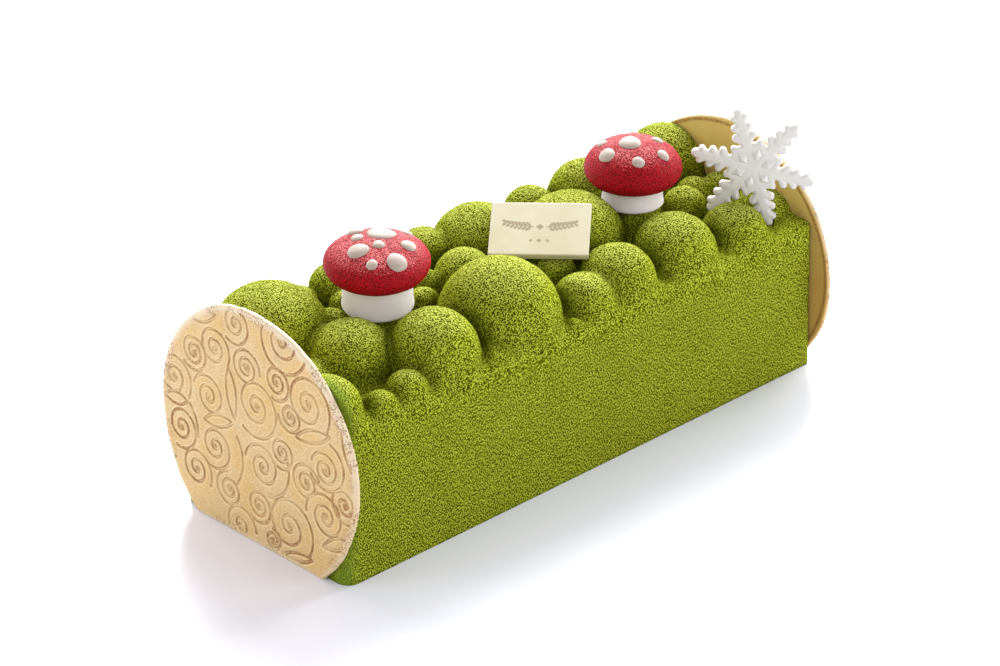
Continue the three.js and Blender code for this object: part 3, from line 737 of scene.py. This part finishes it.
def dotShell(stand, dot, seed):
    # rings about the dot's middle, laid on the crown and raised to a shouldered dome; the last dips below it
    bearing, distance, length, width, rise = dot
    rings = np.array(toadstools["dotRings"])
    shoulder, flatness = toadstools["dotCurve"]
    height = np.append((1 - rings[:-1] ** shoulder) ** flatness, toadstools["dotDip"])
    angle = np.linspace(0, 2 * np.pi, toadstools["dotAround"], endpoint=False)
    waves = toadstools["dotWaves"]
    phase = np.random.default_rng(seed).uniform(0, 6.3, len(waves))
    uneven = 1 + sum(size * np.sin(count * angle + start) for (count, size), start in zip(waves, phase))
    grain, grainSize = toadstools["dotGrain"]
    turn = math.radians(bearing)
    outwards = np.array([math.cos(turn), math.sin(turn)])
    sideways = np.array([-math.sin(turn), math.cos(turn)])
    across = distance + rings[:, None] * uneven * length / 2 * np.cos(angle)
    aside = rings[:, None] * uneven * width / 2 * np.sin(angle)
    flat = across[..., None] * outwards + aside[..., None] * sideways
    reach = np.minimum(np.linalg.norm(flat, axis=-1) / stand["capRadius"], 0.995)
    level = stand["crown"] * np.sqrt(1 - reach ** 2)
    base = np.concatenate([flat, level[..., None]], -1)
    normal = np.concatenate([flat / stand["capRadius"] ** 2, level[..., None] / stand["crown"] ** 2], -1)
    normal /= np.linalg.norm(normal, axis=-1, keepdims=True)
    lift = rise * height[:, None] + grain * smoothNoise(base, grainSize, seed)
    shell = base + normal * lift[..., None]
    closing = np.broadcast_to(shell[-1].mean(0), shell[-1:].shape)
    faces = gridFaces(len(rings) + 1, len(angle), closedColumns=True)[:, ::-1]
    return np.concatenate([shell, closing]).reshape(-1, 3), faces


def barDistance(along, aside, bar):
    # distance to a bar whose radius changes evenly from one end to the other
    startAlong, startAside, endAlong, endAside, startRadius, endRadius = bar
    stepAlong, stepAside = endAlong - startAlong, endAside - startAside
    share = (along - startAlong) * stepAlong + (aside - startAside) * stepAside
    share = np.clip(share / (stepAlong ** 2 + stepAside ** 2), 0, 1)
    off = np.hypot(along - startAlong - share * stepAlong, aside - startAside - share * stepAside)
    return off - startRadius - share * (endRadius - startRadius)


def flakeFold(across, up):
    # all arms and both their sides folded on to one half arm: distance from the middle, and angle off the arm
    reach = np.hypot(across, up)
    folded = np.abs((np.arctan2(up, across) + np.pi / 6) % (np.pi / 3) - np.pi / 6)
    return reach, folded


def flakeDistance(across, up):
    # distance to the flake's outline, negative inside: bars blended by the logarithm of summed exponentials
    reach, folded = flakeFold(across, up)
    along, aside = reach * np.cos(folded), reach * np.sin(folded)
    parts = [barDistance(along, aside, bar) for bar in flake["bars"]]
    between = np.pi / 6 - folded
    parts.append(barDistance(reach * np.cos(between), reach * np.sin(between), flake["web"]))
    parts.append(reach - flake["hub"])
    nearest = np.min(parts, axis=0)
    return nearest - flake["blend"] * np.log(sum(np.exp((nearest - part) / flake["blend"]) for part in parts))


def flakeSurface():
    # cells of a square grid whose middle lies inside the outline, their outer points moved on to it; the
    # height is an edge, a quarter circle of the distance inwards and the petals, and the back mirrors it
    side = np.arange(-flake["reach"] - 1, flake["reach"] + 1, flake["cell"])
    count = len(side)
    across, up = (part.ravel() for part in np.meshgrid(side, side))
    cells = gridFaces(count, count)
    kept = flakeDistance(across[cells].mean(1), up[cells].mean(1)) < 0
    faces = cells[kept]
    starts, ends = faces, np.roll(faces, -1, axis=1)
    edges = np.stack([starts.ravel(), ends.ravel()], -1)
    lonely = ~np.isin(edges[:, 0] * count ** 2 + edges[:, 1], edges[:, 1] * count ** 2 + edges[:, 0])
    rim = edges[lonely]
    moved = np.unique(rim)
    probe = flake["settleProbe"]
    for step in range(flake["settleSteps"]):
        here = flakeDistance(across[moved], up[moved])
        slopeAcross = (flakeDistance(across[moved] + probe, up[moved]) - here) / probe
        slopeUp = (flakeDistance(across[moved], up[moved] + probe) - here) / probe
        pace = flake["settleShare"] * here / np.maximum(slopeAcross ** 2 + slopeUp ** 2, 0.3)
        across[moved] -= pace * slopeAcross
        up[moved] -= pace * slopeUp

    half = flake["thickness"] / 2
    inwards = np.clip(-flakeDistance(across, up) / flake["shoulder"], 0, 1)
    inwards[moved] = 0
    height = half * (flake["edgeShare"] + (1 - flake["edgeShare"]) * np.sqrt(1 - (1 - inwards) ** 2))
    reach, folded = flakeFold(across, up)
    place, length, width, rise = flake["petal"]
    along, aside = reach * np.cos(np.pi / 6 - folded) - place, reach * np.sin(np.pi / 6 - folded)
    rhombus = 1 - np.abs(along) / length - np.abs(aside) / width
    grooveDepth, grooveWidth = flake["petalGroove"]
    height += rise * smoothStep(0.0, 0.75, rhombus)
    height -= grooveDepth * bell(rhombus, grooveWidth) * (reach < flake["petalReach"])
    unevenness, size = flake["unevenness"]
    height += unevenness * smoothNoise(np.stack([across, up, 0 * up], -1), size, 71) * inwards
    used, packed = np.unique(faces, return_inverse=True)
    faces = packed.reshape(-1, 4)
    slot = np.zeros(count ** 2, int)
    slot[used] = np.arange(len(used))
    start, end = slot[rim].T
    behind = len(used)
    sides = np.stack([end, start, start + behind, end + behind], -1)
    front = np.stack([across[used], up[used], height[used]], -1)
    points = np.concatenate([front, front * (1, 1, -1)])
    return points, np.concatenate([faces, faces[:, ::-1] + behind, sides])


def tileSurface():
    # a flat box with rounded edges: a grid over its face, and rings round the edge and over the back
    edge, low = tile["edge"], -tile["thickness"]
    halfWidth, halfHeight = tile["width"] / 2 - edge, tile["height"] / 2 - edge
    u, v = np.meshgrid(np.linspace(-1, 1, tile["columns"]), np.linspace(-1, 1, tile["rows"]))
    top = np.stack([u * halfWidth, v * halfHeight, 0 * u], -1)
    around = gridEdge(tile["rows"], tile["columns"])
    border = top.reshape(-1, 3)[around, :2]
    corner = np.sign(border) * (np.abs(border) >= np.array([halfWidth, halfHeight]) - 1e-6)
    corner = corner / np.linalg.norm(corner, axis=1, keepdims=True)
    # each ring as a share of the border, how far out of it and how high
    upper, lower = np.linspace(0, np.pi / 2, 5)[1:], np.linspace(np.pi / 2, np.pi, 5)
    rings = [(1, edge * math.sin(turn), -edge * (1 - math.cos(turn))) for turn in upper]
    rings += [(1, edge * math.sin(turn), low + edge * (1 + math.cos(turn))) for turn in lower]
    rings += [(share, 0, low) for share in (0.6, 0.2, 0.0)]
    rings = np.array([np.column_stack([border * share + corner * out, np.full(len(border), level)])
                      for share, out, level in rings])
    points, faces = closedGrid(top, rings, around)
    printed = np.zeros(len(points))
    printed[:u.size] = sprigPrint(top[..., 0], top[..., 1]).ravel()
    return points, faces, printed


def sprigPrint(across, up):
    # ink of a laurel band: a bowed stalk and pointed leaves to both sides of a diamond, each leaf a strip
    # whose width follows a parabola, and three diamonds below
    fromStalk = np.abs(up - sprig["level"] - sprig["bow"] * across ** 2)
    onStalk = np.abs(np.abs(across) - sprig["stalkMiddle"]) < sprig["stalkHalf"]
    ink = (1 - smoothStep(*sprig["stalkEdge"], fromStalk)) * onStalk
    lean = math.radians(sprig["leafLean"])
    for place in np.linspace(*sprig["leafPlaces"]):
        half = sprig["leafLength"] - sprig["leafShrink"] * place
        above = up - sprig["level"] - sprig["bow"] * place ** 2
        for mirror, side in ((-1, -1), (-1, 1), (1, -1), (1, 1)):
            a = (across * mirror - place) * math.cos(lean) + above * side * math.sin(lean)
            b = above * side * math.cos(lean) - (across * mirror - place) * math.sin(lean)
            leaf = np.abs(b) - sprig["leafWidth"] * np.maximum(1 - ((a - half) / half) ** 2, 0)
            ink = np.maximum(ink, (1 - smoothStep(*sprig["inkEdge"], leaf)) * (np.abs(a - half) < half))
    for place, level, size in sprig["diamonds"]:
        diamond = np.abs(across - place) + np.abs(up - level) - size
        ink = np.maximum(ink, 1 - smoothStep(*sprig["inkEdge"], diamond))
    return ink


# sizes in millimetres, places in metres; a pair of levels is where a mask starts and where it is full
velvet = {
    "pit": (0.04, 0.049, 0.0002), "body": (0.187, 0.236, 0.001), "tip": (0.64, 0.715, 0.072),
    "dust": (0.83, 0.82, 0.42), "smooth": (0.20, 0.29, 0.03),
    "crumbSize": 0.65, "crumbShare": 0.25, "grainSize": 0.44, "wallGrainSize": 0.37, "wallStretch": 0.5,
    "bodyLevels": (0.44, 0.53), "tipLevels": (0.475, 0.58), "tipShare": 0.66,
    "blotchSize": 18, "blotchShare": 0.08,
    "domesAbove": (0.050, 0.062), "paintedSheenAbove": (0.065, 0.073), "paintedSheenUpward": (0.5, 0.98), "paintedSheenShare": 0.18,
    "creaseShadeShare": 0.85, "nearCorner": (-0.1235, -0.117), "smoothShare": 0.7, "depth": 0.9,
}


def velvetLook():
    # crumbs of cocoa butter spray: dark olive pits, a yellow green body, pale tips and a painted pale sheen
    # on the tips that face up; smaller and taller on the walls, with painted shade in the creases, and
    # smoother and lighter green at the near end beside the near disc
    look = Look("greenVelvet")
    height, up = look.along("Z"), look.upward()
    crease = look.attribute("crease")
    onTop = height.between(*velvet["domesAbove"])
    share = velvet["crumbShare"]
    coarse = look.crumbs(velvet["crumbSize"]) * share + look.noise(velvet["grainSize"], 0.0) * (1 - share)
    coarse = coarse + (up - 0.35) * 0.03
    fine = look.noise(velvet["wallGrainSize"], 0.0, 0.5, look.stretched(1, 1, velvet["wallStretch"]))
    grain = coarse * onTop + fine * (1 - onTop)
    tips = grain.between(*velvet["tipLevels"])
    base = look.mix((grain + up * 0.035).between(*velvet["bodyLevels"]), velvet["pit"], velvet["body"])
    base = look.mix(tips * velvet["tipShare"], base, velvet["tip"])
    # painted sheen: a pale colour on the crumb tips that face up towards the light, high on the domes and out
    # of the creases
    sheenMask = up.between(*velvet["paintedSheenUpward"]) * height.between(*velvet["paintedSheenAbove"]) * (1 - crease)
    base = look.mix(tips * sheenMask * velvet["paintedSheenShare"], base, velvet["dust"])
    blotch = look.noise(velvet["blotchSize"]).between(0.35, 0.7)
    base = look.mix(blotch * velvet["blotchShare"], base, velvet["pit"])
    # painted shade: the creases darkened towards the dark pit colour by how shut in they are
    base = look.mix(crease * velvet["creaseShadeShare"], base, velvet["pit"])
    # smoother, lighter green at the near end, beside the near disc
    nearCorner = 1 - look.along("X").between(*velvet["nearCorner"])
    base = look.mix(nearCorner * velvet["smoothShare"], base, velvet["smooth"])
    bump = look.bump(grain, velvet["depth"])
    return look.finish(baseColor=base, roughness=0.9, specularIORLevel=0.0, normal=bump)


biscuit = {
    "pale": (0.67, 0.49, 0.24), "golden": (0.69, 0.445, 0.155), "light": (0.91, 0.735, 0.43),
    "line": (0.27, 0.135, 0.035), "rust": (0.33, 0.12, 0.02), "toast": (0.17, 0.055, 0.01),
    "border": (0.82, 0.71, 0.55), "side": (0.55, 0.33, 0.14), "inner": (0.61, 0.465, 0.125),
    "stain": (0.55, 0.33, 0.08), "crust": (0.30, 0.13, 0.03),
    "edgeAt": 0.45, "edgeWidth": 0.4, "lipAt": 1.05, "lipWidth": 0.4,  # of each line, away from its middle
    "blotchSize": 16, "grainSize": 0.7, "dustSize": 26, "speckSize": 0.9, "crystalSize": 0.5,
    "edgePatchSize": 5.0, "rustPatchSize": 13, "toastPatchSize": 12, "stainSize": 14,
    "toastReach": (0.9, 0.99), "rustReach": (0.3, 0.8), "crustReach": (0.945, 0.965, 0.972, 0.985),
}


def biscuitLook():
    # pale golden sheet: each line has two brown edges that come and go, rusty and speckled towards the
    # outside, with a pale border and a golden inner face
    edgeAt, edgeWidth = biscuit["edgeAt"], biscuit["edgeWidth"]
    look = Look("goldenSheet")
    names = ("line", "offLine", "nearLine", "border", "rim", "inner", "fromMiddle")
    line, offLine, nearLine, border, rim, inner, fromMiddle = (look.attribute(name) for name in names)
    height, farDisc = look.along("Z"), look.along("X").between(0, 0.01)
    blotch = look.noise(biscuit["blotchSize"], 3.0, 0.55)
    fine = look.noise(biscuit["grainSize"], 2.0, 0.6)
    dusty = look.noise(biscuit["dustSize"]).between(0.35, 0.65)
    specks = look.noise(biscuit["speckSize"], 2.0, 0.7)

    # the sheet, then a painted highlight on the lines' lips, and the lines' edges on it
    base = look.mix(blotch.between(0.35, 0.68), biscuit["pale"], biscuit["golden"])
    base = look.mix((1 - height.between(0.008, 0.055)) * 0.3, base, biscuit["golden"])
    base = look.mix(fine.between(0.42, 0.62) * 0.2, base, biscuit["line"])
    base = look.mix(look.noise(biscuit["crystalSize"], 0.0).between(0.45, 0.6) * 0.28, base, biscuit["light"])
    onLine = nearLine.between(0.2, 0.35)
    insideEdge = 1 - (offLine + edgeAt).size().between(0, edgeWidth)
    outsideEdge = 1 - (offLine - edgeAt).size().between(0, edgeWidth)
    comeAndGo = look.noise(biscuit["edgePatchSize"], 1.0).between(0.38, 0.62)
    edges = insideEdge * (0.35 + 0.65 * comeAndGo) + outsideEdge * (1 - 0.65 * comeAndGo)
    # painted highlight: a light line along each lip of a groove, outside its brown edges
    lipHighlight = 1 - (offLine.size() - biscuit["lipAt"]).size().between(0, biscuit["lipWidth"])
    base = look.mix(lipHighlight * onLine * 0.55, base, biscuit["light"])
    base = look.mix(line * 0.35, base, biscuit["light"])
    base = look.mix(edges * onLine * (0.5 + 0.35 * dusty), base, biscuit["line"])

    # rusty lines and a toasted, pale border
    patches = look.noise(biscuit["rustPatchSize"], 1.0).between(0.45, 0.6)
    rusty = fromMiddle.between(*biscuit["rustReach"]) * patches
    rusty = line.between(0.15, 0.7) * rusty * specks.between(0.42, 0.58)
    base = look.mix(rusty * 0.75, base, biscuit["rust"])
    patches = look.noise(biscuit["toastPatchSize"], 1.0).between(0.44, 0.58)
    toasted = fromMiddle.between(*biscuit["toastReach"]) * patches * specks.between(0.5, 0.6)
    base = look.mix(border * height.between(0.03, 0.08) * 0.5, base, biscuit["border"])
    base = look.mix(toasted * 0.7, base, biscuit["toast"])
    base = look.mix(rim * 0.4 * (1 - toasted), base, look.mix(farDisc, biscuit["border"], biscuit["side"]))

    # the inner face, with a brown crust just inside its rim
    plain = look.mix(height.between(0.03, 0.085), biscuit["stain"], biscuit["inner"])
    stains = look.noise(biscuit["stainSize"], 3.0, 0.6).between(0.4, 0.7)
    plain = look.mix(stains * 0.35, plain, biscuit["stain"])
    start, full, fading, gone = biscuit["crustReach"]
    crust = fromMiddle.between(start, full) * (1 - fromMiddle.between(fading, gone))
    plain = look.mix(crust * (0.4 + 0.6 * specks.between(0.35, 0.6)), plain, biscuit["crust"])
    base = look.mix(inner, base, plain)
    bump = look.bump(fine * 0.6 + blotch * 0.4, 0.14, 0.6)
    return look.finish(baseColor=base, roughness=0.5 + 0.2 * fine, specularIORLevel=0.35, normal=bump)


redSugar = {
    "deep": (0.17, 0.0006, 0.004), "red": (0.47, 0.003, 0.013), "frost": (0.72, 0.13, 0.14),
    "crystal": (0.88, 0.48, 0.46), "grainSize": 0.45, "clumpSize": 1.0, "clumpShare": 0.25, "patchSize": 6.0,
    "glareUpward": (0.68, 0.97), "glareShare": 0.6, "sparkleShare": 0.28, "depth": 0.6,
}


def redLook():
    # crimson sugar: a fine grain of crystals, deep red below, with a painted pink glare and painted pale
    # sparkle where it faces up towards the light
    look = Look("redSugar")
    share = redSugar["clumpShare"]
    grain, clumps = look.noise(redSugar["grainSize"], 0.0), look.noise(redSugar["clumpSize"], 1.0)
    mixed = grain * (1 - share) + clumps * share
    base = look.mix(mixed.between(0.4, 0.56), redSugar["deep"], redSugar["red"])
    patches = look.noise(redSugar["patchSize"]).between(0.2, 0.6)
    # painted highlight: pink glare and pale sparkle on the grain where the cap faces up
    lit = look.upward().between(*redSugar["glareUpward"]) * patches
    base = look.mix(lit * mixed.between(0.45, 0.56) * redSugar["glareShare"], base, redSugar["frost"])
    base = look.mix(lit * mixed.between(0.54, 0.62) * redSugar["sparkleShare"], base, redSugar["crystal"])
    bump = look.bump(mixed, redSugar["depth"])
    return look.finish(baseColor=base, roughness=0.55, specularIORLevel=0.12, normal=bump)


# colour, cloudy shade, size of the clouds, depth of the unevenness, roughness, subsurface and sheen
paleFinishes = {
    "creamDots": ((0.47, 0.385, 0.33), (0.42, 0.34, 0.29), 2.4, 0.06, 0.45, 0.1, 0.0),
    "mattSugar": ((0.99, 0.91, 0.96), (0.97, 0.88, 0.92), 9.0, 0.1, 0.6, 0.0, 0.4),
    "whiteSugar": ((0.735, 0.715, 0.68), (0.70, 0.68, 0.65), 5.0, 0.06, 0.4, 0.1, 0.0),
}


def paleLook(name):
    # smooth pale sugar: faint cloudiness, and a soft unevenness
    colour, shade, size, depth, roughness, subsurface, sheen = paleFinishes[name]
    look = Look(name)
    cloud = look.noise(size, 3.0, 0.55)
    fine = look.noise(0.9)
    base = look.mix(cloud.between(0.35, 0.7), colour, shade)
    bump = look.bump(cloud * 0.6 + fine * 0.4, depth, 0.7)
    return look.finish(baseColor=base, roughness=roughness + 0.1 * fine, specularIORLevel=0.4, normal=bump,
                       subsurfaceWeight=subsurface, subsurfaceRadius=(1.0, 0.8, 0.6), subsurfaceScale=0.002,
                       sheenWeight=sheen, sheenRoughness=0.5, sheenTint=(1, 1, 1))


chocolate = {
    "cream": (0.58, 0.53, 0.375), "warm": (0.53, 0.48, 0.315), "ink": (0.25, 0.19, 0.10), "inkShare": 0.85,
}


def tileLook():
    # cream white chocolate with a brown print
    look = Look("whiteChocolate")
    base = look.mix(look.noise(14).between(0.35, 0.7), chocolate["cream"], chocolate["warm"])
    base = look.mix(look.attribute("ink") * chocolate["inkShare"], base, chocolate["ink"])
    bump = look.bump(look.noise(2.5), 0.05, 0.6)
    return look.finish(baseColor=base, roughness=0.38, specularIORLevel=0.45, normal=bump)


print("log")
points, crease = coatedLog()
rows, columns = points.shape[:2]
# the crease attribute carries the painted shade of the creases
addPiece("cakeLog", points.reshape(-1, 3), gridFaces(rows, columns, closedRows=True), velvetLook(),
         ["cake_log"], {"crease": crease}, weld=0.01)

print("discs")
golden = biscuitLook()
for place, node, seed in (("near", "end_disc_near", 31), ("far", "end_disc_far", 41)):
    local, faces, attributes = discSurface(discs[place], seed)
    addPiece("endDisc" + place.capitalize(), standUp(local, discs[place]), faces, golden, [node],
             attributes)

print("toadstools")
red, cream, white = redLook(), paleLook("creamDots"), paleLook("mattSugar")
for place, stand, seed in (("Near", nearToadstool, 51), ("Far", farToadstool, 61)):
    axes = toadstoolAxes(stand)
    base = np.array(stand["base"], float)
    lifted = base + axes[2] * stand["capLift"]
    points, faces = turnedSurface(capProfile(stand), toadstools["capAround"], seed, *toadstools["capGrain"])
    addPiece("toadstoolCap" + place, lifted + points.reshape(-1, 3) @ axes, faces, red,
             ["toadstool_cap_" + place.lower()])
    shells = [dotShell(stand, dot, seed + 3 + number) for number, dot in enumerate(stand["dots"])]
    points, faces = joinShells(shells)
    addPiece("toadstoolDots" + place, lifted + points @ axes, faces, cream)
    points, faces = turnedSurface(stemProfile(stand), toadstools["stemAround"], seed + 20,
                                  *toadstools["stemGrain"])
    addPiece("toadstoolStem" + place, base + points.reshape(-1, 3) @ axes, faces, white,
             ["toadstool_stem_" + place.lower()])

print("tile")
points, faces, printed = tileSurface()
addPiece("chocolateTile", tile["centre"] + points @ facing(tile), faces, tileLook(),
         ["chocolate_tile"], {"ink": printed})

print("snowflake")
points, faces = flakeSurface()
addPiece("sugarSnowflake", flake["centre"] + points @ facing(flake), faces, paleLook("whiteSugar"),
         ["sugar_snowflake"])


# lamps as heading and elevation from the cake's middle, distance, width and power
studio = {
    "camera": (-0.85107, -0.86937, 0.66876), "azimuth": -44.239, "elevation": 27.278, "lens": 128.75,
    "floorSize": 8.0, "world": 0.35,
    "floor": (0.87, 0.87, 0.96), "floorShade": (0.85, 0.85, 0.95), "floorPatch": 300,
    "lamps": {
        "backLamp": (45, 38, 1.8, 1.3, 60), "rightLamp": (0, 28, 1.8, 1.2, 30),
        "sideLamp": (90, 25, 1.8, 1.2, 14), "leftLamp": (150, 20, 1.8, 1.2, 9),
        "frontLamp": (225, 35, 1.8, 1.2, 8), "lowLamp": (300, 15, 1.8, 1.2, 13),
    },
}


def addFloor():
    # a pale sheet with a faint gloss
    half = studio["floorSize"] / 2
    corners = np.array([(-half, -half, 0), (half, -half, 0), (half, half, 0), (-half, half, 0)])
    mesh = bpy.data.meshes.new("floor")
    mesh.from_pydata(corners.tolist(), [], [(0, 1, 2, 3)])
    floor = bpy.data.objects.new("floor", mesh)
    bpy.context.scene.collection.objects.link(floor)
    look = Look("paleFloor")
    patches = look.noise(studio["floorPatch"]).between(0.3, 0.7)
    shade = look.mix(patches, studio["floor"], studio["floorShade"])
    mesh.materials.append(look.finish(baseColor=shade, roughness=0.3, specularIORLevel=0.25))


def addLights():
    # an even white surround and large round lamps that look at the cake's middle
    world = bpy.data.worlds.new("studio")
    world.use_nodes = True
    background = world.node_tree.nodes["Background"]
    background.inputs["Color"].default_value = (1, 1, 1, 1)
    background.inputs["Strength"].default_value = studio["world"]
    bpy.context.scene.world = world
    for name, (heading, elevation, distance, size, power) in studio["lamps"].items():
        turn, level = math.radians(heading), math.radians(elevation)
        out = Vector((math.cos(turn) * math.cos(level), math.sin(turn) * math.cos(level), math.sin(level)))
        lamp = bpy.data.lights.new(name, "AREA")
        lamp.shape = "DISK"
        lamp.size = size
        lamp.energy = power
        holder = bpy.data.objects.new(name, lamp)
        holder.location = out * distance
        holder.rotation_euler = (-out).to_track_quat("-Z", "Y").to_euler()
        bpy.context.scene.collection.objects.link(holder)


def addCamera():
    # looks along its azimuth, counted from the front, and down by its elevation
    turn, level = math.radians(studio["azimuth"]), math.radians(studio["elevation"])
    back = Vector((math.sin(turn) * math.cos(level), -math.cos(turn) * math.cos(level), math.sin(level)))
    lens = bpy.data.cameras.new("camera")
    lens.lens = studio["lens"]
    lens.sensor_width = 36
    lens.clip_start, lens.clip_end = 0.05, 50
    camera = bpy.data.objects.new("camera", lens)
    camera.location = studio["camera"]
    camera.rotation_mode = "QUATERNION"
    camera.rotation_quaternion = (-back).to_track_quat("-Z", "Y")
    bpy.context.scene.collection.objects.link(camera)
    bpy.context.scene.camera = camera


print("studio")
addFloor()
addLights()
addCamera()
bpy.context.scene.view_settings.view_transform = "Standard"
